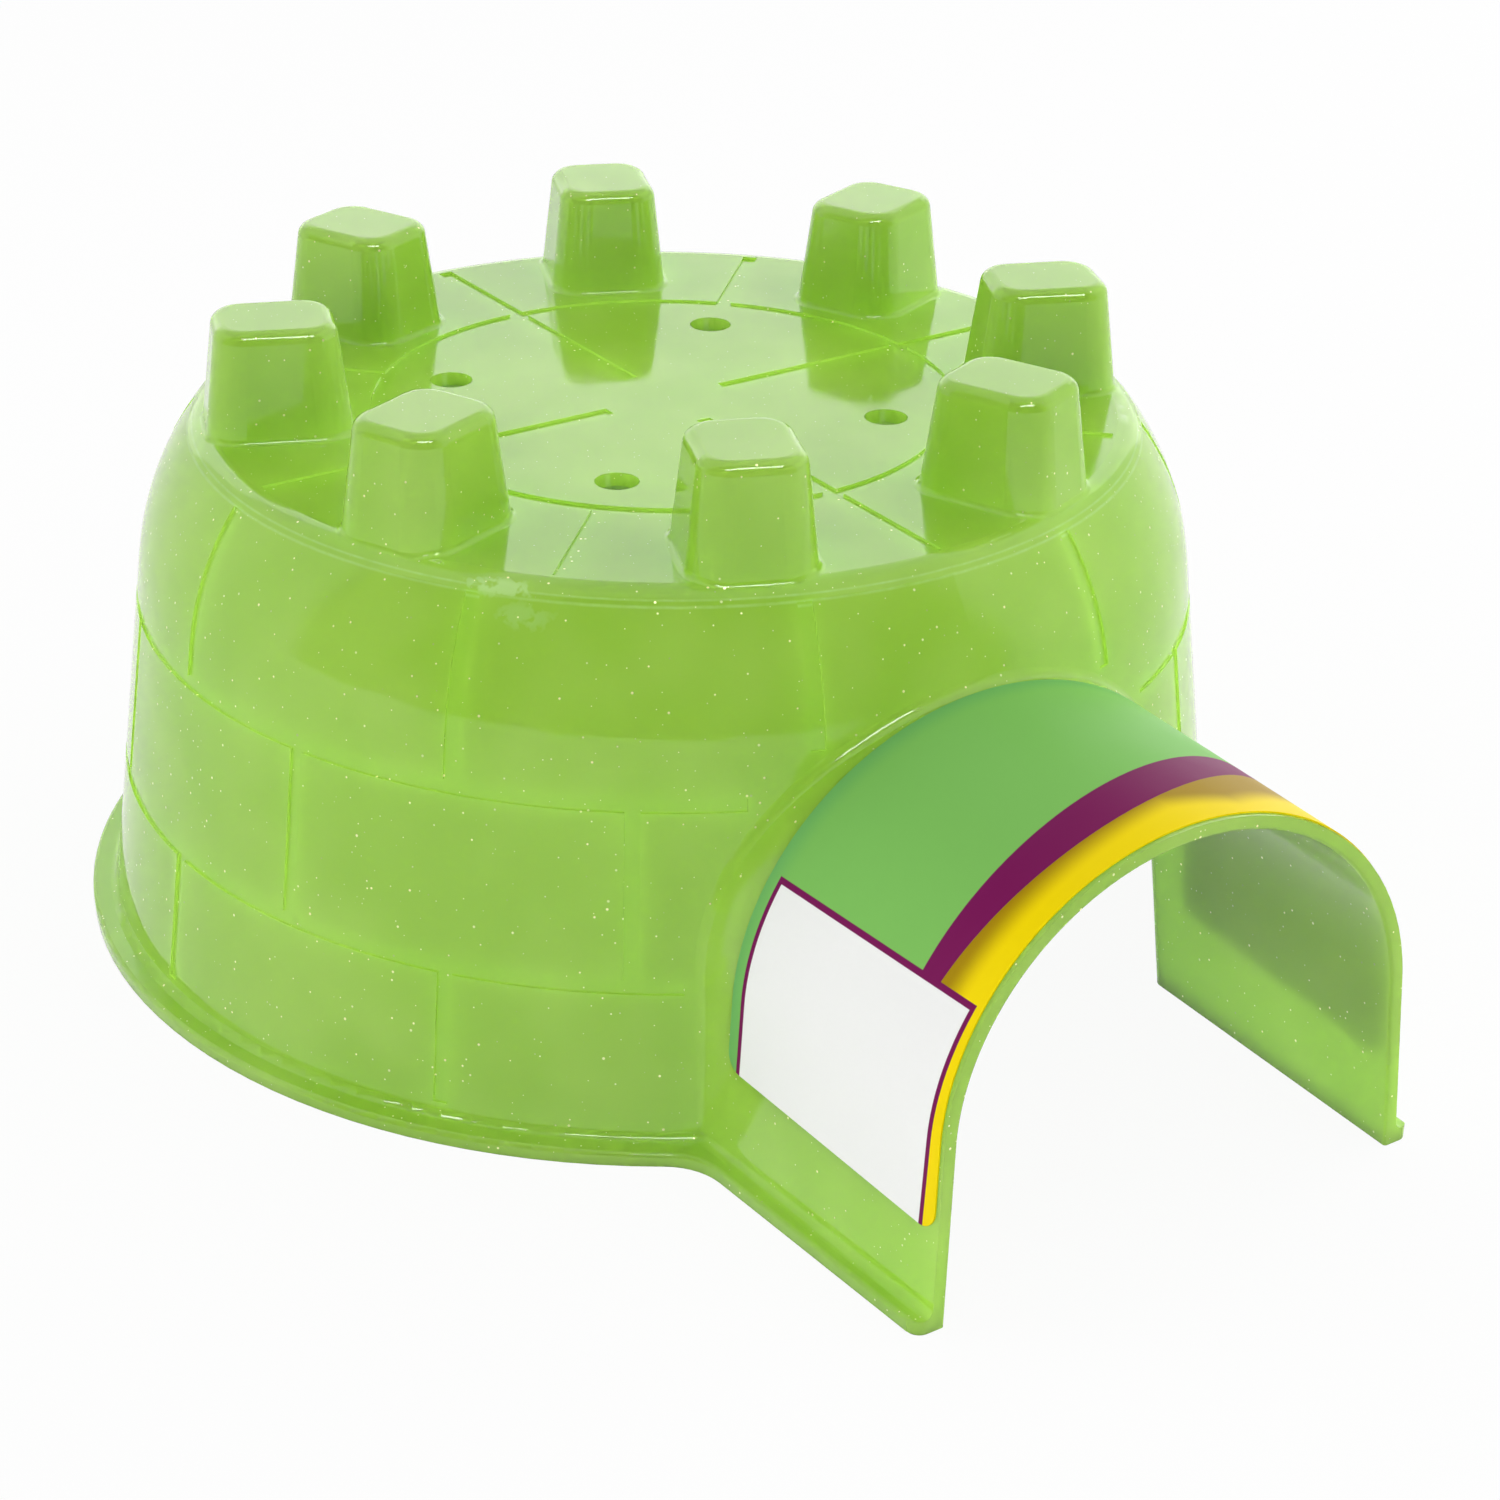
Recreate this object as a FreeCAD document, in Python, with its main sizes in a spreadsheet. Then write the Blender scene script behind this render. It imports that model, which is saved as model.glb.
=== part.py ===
import FreeCAD, Part
import math
import os
import Sketcher

# Castle-topped hide for mice and dwarf hamsters: one thin moulded shell with a hollow,
# crenellated deck and an entrance tunnel, and the label wrapped over the tunnel.
# Millimetres and degrees. +Z is up and +X points out of the entrance. Every sketch is
# drawn from the drum's axis on the floor, and both pieces are then placed so that the
# origin is under the middle of the whole part.

document = FreeCAD.newDocument("RodentIgloo")
sheet = document.addObject("Spreadsheet::Sheet", "Sizes")
vector = FreeCAD.Vector

sizes = [
    ("wall", 1.35),                    # thickness of the moulding everywhere
    ("drum_foot_radius", 56.2),        # outside of the drum's wall, carried down to the floor
    ("wall_lean", 7.07),               # the drum's wall leans inwards
    ("deck_height", 50.4),
    ("shoulder_drop", 14.1),           # from the deck down to where the straight wall ends
    ("shoulder_radius", 26.0),
    ("rim_radius", 3.0),               # between the shoulder and the flat deck
    ("flange_reach", 2.3),             # foot flange beyond the drum's wall
    ("flange_thickness", 1.3),
    ("flange_cove", 0.8),              # inside corner between the flange and the walls
    ("flange_edge_round", 0.4),
    ("flange_plan_radius", 6.0),       # hollow corner between drum flange and tunnel flange
    ("mouth_reach", 81.6),             # from the drum's axis to the mouth, on the floor
    ("mouth_lean", 2.2),               # the mouth leans back
    ("tunnel_width", 48.0),            # inside, at the mouth and at spring height
    ("tunnel_spring_height", 16.0),
    ("tunnel_crown_height", 37.9),     # inside, at the mouth
    ("tunnel_side_draft", 3.2),
    ("tunnel_flare", 2.1),             # in plan, each side widens towards the drum
    ("tunnel_rise", 1.6),              # the crown climbs towards the drum
    ("tunnel_flange_reach", 1.7),
    ("tunnel_root", 30.0),             # the tunnel is drawn in to this distance from the axis
    ("flange_tip_radius", 1.2),        # in plan, the flange's two corners at the mouth
    ("junction_round", 1.1),           # inside corner where the tunnel leaves the drum
    ("doorway_round", 1.2),            # the same corner seen from inside the drum
    ("mouth_edge_round", 0.3),
    ("merlon_count", 8),
    ("merlon_ring_radius", 37.7),
    ("merlon_height", 10.6),
    ("merlon_foot_depth", 14.0),       # along the radius
    ("merlon_foot_width", 12.0),
    ("merlon_foot_corner", 3.6),
    ("merlon_top_depth", 11.4),
    ("merlon_top_width", 9.8),
    ("merlon_top_corner", 3.0),
    ("merlon_top_round", 1.3),
    ("merlon_foot_round", 0.6),        # inside corner between a merlon and the deck
    ("vent_count", 4),
    ("vent_diameter", 4.2),
    ("vent_ring_radius", 21.7),
    ("joint_depth", 0.26),             # the sunk lines between the moulded blocks
    ("blocks_per_course", 10),
    ("upright_joint_width", 1.4),
    ("bed_joint_height", 1.2),
    ("lower_bed_height", 15.8),        # middle of the lower bed joint
    ("upper_bed_height", 32.8),
    ("lower_bed_gap_angle", 31.0),     # each bed joint stops this far either side of the tunnel
    ("upper_bed_gap_angle", 25.0),
    ("block_foot_height", 2.6),        # underside of the lowest course
    ("block_head_drop", 1.3),          # from the deck down to the top of the highest course
    ("over_tunnel_joint_height", 37.2),  # foot of the upright joints above the tunnel
    ("deck_joint_width", 1.5),
    ("deck_joint_start", 6.5),
    ("deck_joint_end", 43.6),
    ("deck_ring_radius", 28.1),
    ("deck_ring_width", 1.2),
    ("label_thickness", 0.15),
    ("label_drum_gap", 0.8),           # bare plastic between the drum and the label, at the crown
    ("label_mouth_gap", 0.5),
    ("label_foot_height", 9.1),        # at the mouth
    ("label_foot_rise", 2.6),          # the label's foot climbs towards the drum
    ("label_corner", 1.8),
]
for row, (alias, value) in enumerate(sizes, 1):
    sheet.set("A%d" % row, alias)
    sheet.set("B%d" % row, str(value))
    sheet.setAlias("B%d" % row, alias)
document.recompute()

clear = 2.0  # cutting shapes run this far past the surface that they open
level_enough = 0.01  # two heights or distances this near each other are taken as the same
near_enough = 0.1  # a point this near a surface is taken to lie on it
proud = "-0.6"  # the joints' cutting shapes stand this far out of the wall
above_tunnel = "Sizes.tunnel_crown_height + 5 * Sizes.wall"  # clear over the crown's whole length
half_merlon_step = "180 / Sizes.merlon_count"
block_step = "360 / Sizes.blocks_per_course"


def worth(expression):
    """Value of an expression in the sheet's names."""
    return float(sheet.evalExpression(expression))


def drive(item, prop, expression):
    """Binds a property to the sheet."""
    item.setExpression(prop, expression)


def sketch_on(body, name, role, height="0", turn="0"):
    """A sketch on one of the body's origin planes, moved along the plane's normal and turned
    about +Z."""
    sketch = body.newObject("Sketcher::SketchObject", name)
    sketch.AttachmentSupport = [(origin_part(body, role), "")]
    sketch.MapMode = "FlatFace"
    axis = vector(0, 0, 1) if role == "XY_Plane" else vector(0, 1, 0)
    turned = FreeCAD.Rotation(axis, worth(turn))
    sketch.AttachmentOffset = FreeCAD.Placement(vector(0, 0, worth(height)), turned)
    drive(sketch, "AttachmentOffset.Base.z", height)
    if turn != "0":
        drive(sketch, "AttachmentOffset.Rotation.Angle", "(%s) * 1 deg" % turn)
    return sketch


def line(sketch, start, end):
    return sketch.addGeometry(Part.LineSegment(vector(*start), vector(*end)), False)


def arc(sketch, centre, radius, start, end):
    """Counter-clockwise between two directions in degrees."""
    circle = Part.Circle(vector(*centre), vector(0, 0, 1), radius)
    return sketch.addGeometry(Part.ArcOfCircle(circle, math.radians(start), math.radians(end)), False)


def tie(sketch, kind, *where):
    sketch.addConstraint(Sketcher.Constraint(kind, *where))


def dimension(sketch, expression, kind, *where):
    """A driving dimension bound to the sheet."""
    value = worth(expression)
    if kind == "Angle":
        value = math.radians(value)
        expression = "(%s) * 1 deg" % expression
    number = sketch.addConstraint(Sketcher.Constraint(kind, *where, value))
    drive(sketch, "Constraints[%d]" % number, expression)


def place_point(sketch, across, up, *where):
    """Fixes a point of the sketch by its two coordinates."""
    dimension(sketch, across, "DistanceX", -1, 1, *where)
    dimension(sketch, up, "DistanceY", -1, 1, *where)


def polygon(sketch, corners):
    """A closed outline of straight lines through corners given as pairs of expressions."""
    places = [(worth(across), worth(up), 0) for across, up in corners]
    sides = [line(sketch, start, end) for start, end in zip(places, places[1:] + places[:1])]
    for first, second in zip(sides, sides[1:] + sides[:1]):
        tie(sketch, "Coincident", first, 2, second, 1)
    for side, (across, up) in zip(sides, corners):
        place_point(sketch, across, up, side, 1)


def polar_pattern(body, name, originals, count, step):
    pattern = body.newObject("PartDesign::PolarPattern", name)
    pattern.Originals = originals
    pattern.Axis = (origin_part(body, "Z_Axis"), [""])
    pattern.Mode = "Spacing"
    drive(pattern, "Occurrences", count)
    drive(pattern, "Offset", "(%s) * 1 deg" % step)
    body.Tip = pattern
    return pattern


def origin_part(body, role):
    """One of the body's own axes or planes."""
    return [item for item in body.Origin.OriginFeatures if item.Role == role][0]


def feature(body, kind, name, profile, **settings):
    item = body.newObject("PartDesign::" + kind, name)
    item.Profile = profile
    for prop, value in settings.items():
        setattr(item, prop, value)
    return item


# The drum's outline in the plane through its axis: a straight leaning wall, a round shoulder,
# a rim and the flat deck. It is drawn at any depth under the outer surface, because the
# cavity, the joints and the label's clearance all follow the same curve.

def wall_radius(height, depth):
    return ("Sizes.drum_foot_radius - (%s) / cos(Sizes.wall_lean) - (%s) * tan(Sizes.wall_lean)"
            % (depth, height))


def wall_top(depth):
    return "Sizes.deck_height - Sizes.shoulder_drop - (%s) * sin(Sizes.wall_lean)" % depth


centre_across = wall_radius(wall_top("0"), "0") + " - Sizes.shoulder_radius * cos(Sizes.wall_lean)"
centre_up = wall_top("0") + " - Sizes.shoulder_radius * sin(Sizes.wall_lean)"
shoulder_across = worth(centre_across)
shoulder_up = worth(centre_up)
rim_up = worth("Sizes.deck_height - Sizes.rim_radius")
rim_across = shoulder_across + math.sqrt(worth("Sizes.shoulder_radius - Sizes.rim_radius") ** 2
                                         - (rim_up - shoulder_up) ** 2)
rim_angle = math.degrees(math.atan2(rim_up - shoulder_up, rim_across - shoulder_across))


def draw_wall(sketch, foot, depth):
    start = (worth(wall_radius(foot, depth)), worth(foot), 0)
    end = (worth(wall_radius(wall_top(depth), depth)), worth(wall_top(depth)), 0)
    wall = line(sketch, start, end)
    place_point(sketch, wall_radius(foot, depth), foot, wall, 1)
    dimension(sketch, "90 + Sizes.wall_lean", "Angle", wall)
    dimension(sketch, wall_top(depth), "DistanceY", -1, 1, wall, 2)
    return wall


def draw_shoulder(sketch, wall, depth, end_angle):
    radius = "Sizes.shoulder_radius - (%s)" % depth
    shoulder = arc(sketch, (shoulder_across, shoulder_up, 0), worth(radius),
                   worth("Sizes.wall_lean"), end_angle)
    tie(sketch, "Tangent", wall, 2, shoulder, 1)
    dimension(sketch, radius, "Radius", shoulder)
    return shoulder


def draw_drum(sketch, foot, depth):
    """The whole outline, closed along the axis and at the foot."""
    wall = draw_wall(sketch, foot, depth)
    shoulder = draw_shoulder(sketch, wall, depth, rim_angle)
    rim_radius = "Sizes.rim_radius - (%s)" % depth
    level = "Sizes.deck_height - (%s)" % depth
    rim = arc(sketch, (rim_across, rim_up, 0), worth(rim_radius), rim_angle, 90)
    deck = line(sketch, (rim_across, worth(level), 0), (0, worth(level), 0))
    axis = line(sketch, (0, worth(level), 0), (0, worth(foot), 0))
    floor = line(sketch, (0, worth(foot), 0), (worth(wall_radius(foot, depth)), worth(foot), 0))
    tie(sketch, "Tangent", shoulder, 2, rim, 1)
    dimension(sketch, rim_radius, "Radius", rim)
    tie(sketch, "Tangent", rim, 2, deck, 1)
    tie(sketch, "Horizontal", deck)
    place_point(sketch, "0", level, deck, 2)
    tie(sketch, "Coincident", deck, 2, axis, 1)
    tie(sketch, "Vertical", axis)
    tie(sketch, "Coincident", axis, 2, floor, 1)
    tie(sketch, "Coincident", floor, 2, wall, 1)
    tie(sketch, "Horizontal", floor)


def draw_wall_band(sketch, foot, head):
    """A thin band across the straight wall between two heights, to cut one joint."""
    polygon(sketch, [(wall_radius(foot, "Sizes.joint_depth"), foot), (wall_radius(foot, proud), foot),
                     (wall_radius(head, proud), head), (wall_radius(head, "Sizes.joint_depth"), head)])


def shoulder_reach(height):
    """Radius of the drum's outside at a height on the shoulder."""
    return ("%s + sqrt(Sizes.shoulder_radius ^ 2 - (%s - (%s)) ^ 2)"
            % (centre_across, height, centre_up))


def shoulder_angle(height, radius):
    return math.degrees(math.asin((worth(height) - shoulder_up) / radius))


def close_band(sketch, starts, ends):
    """Joins the two curves of a band across their lower and upper ends."""
    for (inner, inner_end), (outer, outer_end) in (starts, ends):
        first = sketch.getPoint(inner, inner_end)
        second = sketch.getPoint(outer, outer_end)
        across = sketch.addGeometry(Part.LineSegment(first, second), False)
        tie(sketch, "Coincident", across, 1, inner, inner_end)
        tie(sketch, "Coincident", across, 2, outer, outer_end)


def draw_course_band(sketch, foot, head):
    """The same band from a height on the wall up over the shoulder."""
    curves = []
    for depth in ("Sizes.joint_depth", proud):
        radius = worth("Sizes.shoulder_radius - (%s)" % depth)
        wall = draw_wall(sketch, foot, depth)
        shoulder = draw_shoulder(sketch, wall, depth, shoulder_angle(head, radius))
        dimension(sketch, head, "DistanceY", -1, 1, shoulder, 2)
        curves.append((wall, shoulder))
    (inner_wall, inner_shoulder), (outer_wall, outer_shoulder) = curves
    close_band(sketch, ((inner_wall, 1), (outer_wall, 1)), ((inner_shoulder, 2), (outer_shoulder, 2)))


def draw_shoulder_band(sketch, foot, head):
    """The same band between two heights on the shoulder."""
    curves = []
    for depth in ("Sizes.joint_depth", proud):
        radius = "Sizes.shoulder_radius - (%s)" % depth
        shoulder = arc(sketch, (shoulder_across, shoulder_up, 0), worth(radius),
                       shoulder_angle(foot, worth(radius)), shoulder_angle(head, worth(radius)))
        dimension(sketch, radius, "Radius", shoulder)
        place_point(sketch, centre_across, centre_up, shoulder, 3)
        dimension(sketch, foot, "DistanceY", -1, 1, shoulder, 1)
        dimension(sketch, head, "DistanceY", -1, 1, shoulder, 2)
        curves.append(shoulder)
    inner, outer = curves
    close_band(sketch, ((inner, 1), (outer, 1)), ((inner, 2), (outer, 2)))


# The tunnel's section across its length: two leaning sides and a half ellipse over them. It
# widens and climbs a little from the mouth towards the drum.

def section_growth(reach, angle):
    return "(Sizes.mouth_reach - (%s)) * tan(%s)" % (reach, angle)


def half_span(reach, depth):
    return ("Sizes.tunnel_width / 2 + %s - (%s)"
            % (section_growth(reach, "Sizes.tunnel_flare"), depth))


def arch_rise(reach, depth):
    return ("Sizes.tunnel_crown_height - Sizes.tunnel_spring_height + %s - (%s)"
            % (section_growth(reach, "Sizes.tunnel_rise"), depth))


def draw_arch(sketch, reach, depth, foot):
    """The section at a distance from the drum's axis, at a depth under the tunnel's inside
    surface (so outside it the depth is negative), down to a foot height."""
    across = worth(half_span(reach, depth))
    up = worth(arch_rise(reach, depth))
    spring = worth("Sizes.tunnel_spring_height")
    draft = math.radians(worth("Sizes.tunnel_side_draft"))
    lean = math.atan(math.tan(draft) * up / across)  # where the ellipse leans like the sides
    side_top = (across * math.cos(lean), spring + up * math.sin(lean), 0)
    side_foot = (side_top[0] + (side_top[1] - worth(foot)) * math.tan(draft), worth(foot), 0)
    centre = vector(0, spring, 0)
    if across >= up:
        ellipse = Part.Ellipse(centre + vector(across, 0, 0), centre + vector(0, up, 0), centre)
        ends = (lean, math.pi - lean)
    else:
        ellipse = Part.Ellipse(centre + vector(0, up, 0), centre - vector(across, 0, 0), centre)
        ends = (lean - math.pi / 2, math.pi / 2 - lean)
    arch = sketch.addGeometry(Part.ArcOfEllipse(ellipse, *ends), False)
    sketch.exposeInternalGeometry(arch)
    long_axis = arch + 1
    short_axis = arch + 2
    right = line(sketch, side_foot, side_top)
    left = line(sketch, (-side_top[0], side_top[1], 0), (-side_foot[0], side_foot[1], 0))
    floor = line(sketch, (-side_foot[0], side_foot[1], 0), side_foot)
    place_point(sketch, "0", "Sizes.tunnel_spring_height", arch, 3)
    if across >= up:
        tie(sketch, "Horizontal", long_axis)
        dimension(sketch, "2 * (%s)" % half_span(reach, depth), "Distance", long_axis)
        dimension(sketch, "2 * (%s)" % arch_rise(reach, depth), "Distance", short_axis)
    else:
        tie(sketch, "Vertical", long_axis)
        dimension(sketch, "2 * (%s)" % arch_rise(reach, depth), "Distance", long_axis)
        dimension(sketch, "2 * (%s)" % half_span(reach, depth), "Distance", short_axis)
    tie(sketch, "Tangent", right, 2, arch, 1)
    tie(sketch, "Tangent", arch, 2, left, 1)
    tie(sketch, "Coincident", left, 2, floor, 1)
    tie(sketch, "Coincident", floor, 2, right, 1)
    dimension(sketch, "90 + Sizes.tunnel_side_draft", "Angle", right)
    dimension(sketch, foot, "DistanceY", -1, 1, right, 1)
    tie(sketch, "Symmetric", right, 1, left, 2, -2)


def tunnel_loft(body, kind, name, depth, foot):
    """A length of tunnel from inside the drum to just past the mouth."""
    sections = []
    for place, reach in (("Root", "Sizes.tunnel_root"), ("Mouth", "Sizes.mouth_reach + %g" % clear)):
        sketch = sketch_on(body, name + place, "YZ_Plane", reach)
        draw_arch(sketch, reach, depth, foot)
        sections.append(sketch)
    document.recompute()
    return feature(body, kind, name, sections[0], Sections=[sections[1]], Ruled=True)


# A merlon's section in plan: a rectangle with round corners, which shrinks as it rises.

def merlon_size(part_name, level, inset):
    """Width, depth or corner at a level above the deck, less a wall all round."""
    foot = "Sizes.merlon_foot_" + part_name
    top = "Sizes.merlon_top_" + part_name
    sides = 1 if part_name == "corner" else 2
    return ("%s - (%s - %s) * (%s) / Sizes.merlon_height - %d * (%s)"
            % (foot, foot, top, level, sides, inset))


def draw_merlon(sketch, level, inset):
    depth, width, corner = [merlon_size(name, level, inset) for name in ("depth", "width", "corner")]
    ring = worth("Sizes.merlon_ring_radius")
    x, y, r = worth(depth) / 2, worth(width) / 2, worth(corner)
    ends = [((ring - x + r, -y, 0), (ring + x - r, -y, 0)), ((ring + x, r - y, 0), (ring + x, y - r, 0)),
            ((ring + x - r, y, 0), (ring - x + r, y, 0)), ((ring - x, y - r, 0), (ring - x, r - y, 0))]
    centres = [(ring + x - r, r - y, 0), (ring + x - r, y - r, 0), (ring - x + r, y - r, 0),
               (ring - x + r, r - y, 0)]
    sides = [line(sketch, start, end) for start, end in ends]
    corners = [arc(sketch, centre, r, 90 * turn - 90, 90 * turn) for turn, centre in enumerate(centres)]
    for side, round_corner, following in zip(sides, corners, sides[1:] + sides[:1]):
        tie(sketch, "Tangent", side, 2, round_corner, 1)
        tie(sketch, "Tangent", round_corner, 2, following, 1)
    front, outer, back, inner = sides
    for side, kind in ((front, "Horizontal"), (back, "Horizontal"), (inner, "Vertical")):
        tie(sketch, kind, side)
    for round_corner in corners[1:]:
        tie(sketch, "Equal", corners[0], round_corner)
    dimension(sketch, corner, "Radius", corners[0])
    dimension(sketch, "Sizes.merlon_ring_radius + (%s) / 2" % depth, "DistanceX", -1, 1, outer, 1)
    dimension(sketch, depth, "DistanceX", inner, 1, outer, 2)
    dimension(sketch, width, "DistanceY", front, 2, back, 1)
    tie(sketch, "Symmetric", outer, 1, outer, 2, -1)


def merlons(body, kind, name, foot_level, top_level, inset):
    """One merlon and its copies round the deck, from one level above the deck to another."""
    sections = []
    for place, level in (("Foot", foot_level), ("Top", top_level)):
        sketch = sketch_on(body, name + place, "XY_Plane", "Sizes.deck_height + (%s)" % level,
                           half_merlon_step)
        draw_merlon(sketch, level, inset)
        sections.append(sketch)
    document.recompute()
    loft = feature(body, kind, name, sections[0], Sections=[sections[1]], Ruled=True)
    return polar_pattern(body, name + "Ring", [loft], "Sizes.merlon_count", "360 / Sizes.merlon_count")


# Places on the finished surfaces, as numbers, to find the edges that get rounded.

def drum_gap(point, depth="0"):
    """How far a point lies from the drum's surface at a depth, roughly."""
    if point.z < worth(wall_top(depth)):
        radius = worth(wall_radius("%.6f" % point.z, depth))
    else:
        reach = worth("Sizes.shoulder_radius - (%s)" % depth)
        radius = shoulder_across + math.sqrt(max(0, reach ** 2 - (point.z - shoulder_up) ** 2))
    return abs(math.hypot(point.x, point.y) - radius)


def tunnel_gap(point, depth="-Sizes.wall"):
    """How far a point lies from the tunnel's surface at a depth, roughly."""
    across = worth(half_span("%.6f" % point.x, depth))
    up = worth(arch_rise("%.6f" % point.x, depth))
    spring = worth("Sizes.tunnel_spring_height")
    draft = math.tan(math.radians(worth("Sizes.tunnel_side_draft")))
    lean = math.atan(draft * up / across)
    side_top = (across * math.cos(lean), spring + up * math.sin(lean))
    if point.z < side_top[1]:
        return abs(abs(point.y) - side_top[0] - (side_top[1] - point.z) * draft)
    return abs(math.hypot(point.y / across, (point.z - spring) / up) - 1) * across


def merlon_gap(point):
    """How far a point lies from the nearest merlon's outer surface, roughly."""
    step = worth("360 / Sizes.merlon_count")
    angle = math.degrees(math.atan2(point.y, point.x)) % step - step / 2
    level = "%.6f - Sizes.deck_height" % point.z
    depth, width, corner = [worth(merlon_size(name, level, "0")) for name in ("depth", "width", "corner")]
    reach = math.hypot(point.x, point.y)
    along = abs(reach * math.cos(math.radians(angle)) - worth("Sizes.merlon_ring_radius"))
    across = abs(reach * math.sin(math.radians(angle)))
    along -= depth / 2 - corner
    across -= width / 2 - corner
    return abs(math.hypot(max(along, 0), max(across, 0)) + min(max(along, across), 0) - corner)


def edges_where(shape, test):
    """Names of the edges that pass a test of the edge and of points along it."""
    names = []
    for number, edge in enumerate(shape.Edges, 1):
        first, last = edge.ParameterRange
        points = [edge.valueAt(first + (last - first) * share) for share in (0.02, 0.3, 0.5, 0.7, 0.98)]
        if test(edge, points):
            names.append("Edge%d" % number)
    return names


def round_edges(body, name, radius, test):
    """Rounds those edges of the body so far that pass a test."""
    document.recompute()
    base = body.Tip
    fillet = body.newObject("PartDesign::Fillet", name)
    fillet.Base = (base, edges_where(base.Shape, test))
    drive(fillet, "Radius", radius)
    return fillet


def at_height(points, height):
    return all(abs(point.z - height) < level_enough for point in points)


def draw_flange(sketch):
    """Plan of the flange: an arc round the drum, a straight edge along each side of the
    tunnel and a hollow arc between them."""
    flare = worth("Sizes.tunnel_flare")
    end = "Sizes.mouth_reach + %g" % clear
    tip = worth(flange_half_width(end))
    radius = worth("Sizes.drum_foot_radius + Sizes.flange_reach")
    hollow = worth("Sizes.flange_plan_radius")
    out = vector(math.sin(math.radians(flare)), math.cos(math.radians(flare)), 0)
    along = vector(out.y, -out.x, 0)
    beside = vector(worth(end), tip, 0).dot(out) + hollow
    centre = out * beside + along * math.sqrt((radius + hollow) ** 2 - beside ** 2)
    on_edge = centre - out * hollow
    drum_angle = math.degrees(math.atan2(centre.y, centre.x))
    mouth = line(sketch, (worth(end), -tip, 0), (worth(end), tip, 0))
    left = line(sketch, (worth(end), tip, 0), on_edge)
    left_hollow = arc(sketch, centre, hollow, 180 + drum_angle, 270 - flare)
    drum = arc(sketch, (0, 0, 0), radius, drum_angle, 360 - drum_angle)
    right_hollow = arc(sketch, (centre.x, -centre.y, 0), hollow, 90 + flare, 180 - drum_angle)
    right = line(sketch, (on_edge.x, -on_edge.y, 0), (worth(end), -tip, 0))
    tie(sketch, "Coincident", mouth, 2, left, 1)
    tie(sketch, "Tangent", left, 2, left_hollow, 2)
    tie(sketch, "Tangent", left_hollow, 1, drum, 1)
    tie(sketch, "Tangent", drum, 2, right_hollow, 2)
    tie(sketch, "Tangent", right_hollow, 1, right, 1)
    tie(sketch, "Coincident", right, 2, mouth, 1)
    tie(sketch, "Coincident", drum, 3, -1, 1)
    dimension(sketch, "Sizes.drum_foot_radius + Sizes.flange_reach", "Radius", drum)
    dimension(sketch, "Sizes.flange_plan_radius", "Radius", left_hollow)
    tie(sketch, "Equal", left_hollow, right_hollow)
    place_point(sketch, end, flange_half_width(end), mouth, 2)
    tie(sketch, "Symmetric", mouth, 1, mouth, 2, -1)
    dimension(sketch, "180 - Sizes.tunnel_flare", "Angle", left)
    dimension(sketch, "Sizes.tunnel_flare", "Angle", right)


def flange_half_width(reach):
    """Outer edge of the flange beside the tunnel."""
    return ("%s + Sizes.tunnel_spring_height * tan(Sizes.tunnel_side_draft)"
            " + Sizes.wall + Sizes.tunnel_flange_reach" % half_span(reach, "0"))


def mouth_plane(height, gap="0"):
    """Distance from the drum's axis to the leaning plane of the mouth, or to one behind it."""
    return "Sizes.mouth_reach - (%s) - (%s) * tan(Sizes.mouth_lean)" % (gap, height)


def cut_across(body, name, sketch):
    """Cuts a side view's outline through the whole width of the tunnel."""
    cut = feature(body, "Pocket", name, sketch, SideType="Symmetric")
    drive(cut, "Length", "2 * Sizes.tunnel_width")
    return cut


def cut_mouth(body):
    """Trims the tunnel's end to the leaning plane of the mouth."""
    sketch = sketch_on(body, "MouthOutline", "XZ_Plane")
    far = "Sizes.mouth_reach + %g" % (2 * clear)
    top = above_tunnel + " + %g" % clear
    foot = "-%g" % clear
    polygon(sketch, [(mouth_plane(foot), foot), (far, foot), (far, top), (mouth_plane(top), top)])
    return cut_across(body, "Mouth", sketch)


def round_flange_tips(body):
    """Rounds the flange's two corners at the mouth in plan, by cutting off a sliver that runs
    out past the flange."""
    sketch = sketch_on(body, "FlangeTipPlan", "XY_Plane")
    edge = flange_half_width("Sizes.mouth_reach")
    radius = "Sizes.flange_tip_radius"
    centre = ("Sizes.mouth_reach - " + radius, "%s - %s" % (edge, radius))
    past = ("Sizes.mouth_reach + %g" % clear, "%s + %g" % (edge, clear))
    x, y, far_x, far_y, r = [worth(item) for item in centre + past + (radius,)]
    corners = [(x + r, y, 0), (far_x, y, 0), (far_x, far_y, 0), (x, far_y, 0), (x, y + r, 0)]
    sides = [line(sketch, start, end) for start, end in zip(corners, corners[1:])]
    tip = arc(sketch, (x, y, 0), r, 0, 90)
    for first, second in zip(sides, sides[1:]):
        tie(sketch, "Coincident", first, 2, second, 1)
    tie(sketch, "Coincident", sides[-1], 2, tip, 2)
    tie(sketch, "Coincident", tip, 1, sides[0], 1)
    for side, kind in zip(sides, ("Horizontal", "Vertical", "Horizontal", "Vertical")):
        tie(sketch, kind, side)
    tie(sketch, "Horizontal", tip, 3, tip, 1)
    tie(sketch, "Vertical", tip, 3, tip, 2)
    dimension(sketch, radius, "Radius", tip)
    place_point(sketch, *centre, tip, 3)
    place_point(sketch, *past, sides[1], 2)
    cut = feature(body, "Pocket", "FlangeTip", sketch, SideType="Symmetric")
    drive(cut, "Length", "2 * (Sizes.flange_thickness + Sizes.flange_cove)")
    pair = body.newObject("PartDesign::Mirrored", "FlangeTips")
    pair.Originals = [cut]
    pair.MirrorPlane = (origin_part(body, "XZ_Plane"), [""])
    body.Tip = pair


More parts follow.
